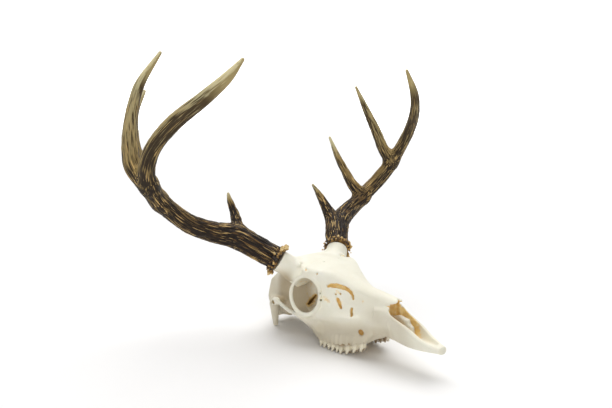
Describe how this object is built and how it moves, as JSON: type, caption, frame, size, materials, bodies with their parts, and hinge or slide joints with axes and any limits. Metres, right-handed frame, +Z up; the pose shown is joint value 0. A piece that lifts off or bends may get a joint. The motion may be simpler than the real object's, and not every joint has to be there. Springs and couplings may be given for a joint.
{
  "type": "deer skull",
  "caption": "Bleached skull of a white-tailed buck without its lower jaw, resting on its cheek teeth and carrying a branched pair of antlers.",
  "frame": {"origin": "bottom centre of the overall bounding box, on the surface that the skull rests on", "axes": "+X to the animal's left, nose towards -Y, +Z up; the skull is tipped nose up by 8.5 degrees as it rests"},
  "size_m": [0.4789, 0.3678, 0.3821],
  "materials": {
    "bone": "matt bleached bone, ivory white with ochre in the hollows",
    "antler": "dull weathered antler, dark brown at the base and ivory at the tips",
    "burr": "rough golden-tan beading"
  },
  "bodies": {
    "root": {"braincase": "bone", "maxilla_with_teeth": "bone", "nasal_bones": "bone", "premaxilla_left": "bone", "cheekbone_left": "bone", "premaxilla_right": "bone", "cheekbone_right": "bone", "burr_left": "burr", "beam_base_left": "antler", "beam_lower_left": "antler", "beam_middle_left": "antler", "beam_tip_left": "antler", "tine_brow_left": "antler", "tine_second_left": "antler", "tine_third_left": "antler", "burr_right": "burr", "beam_base_right": "antler", "beam_lower_right": "antler", "beam_middle_right": "antler", "beam_tip_right": "antler", "tine_brow_right": "antler", "tine_second_right": "antler", "tine_third_right": "antler"}
  },
  "joints": []
}
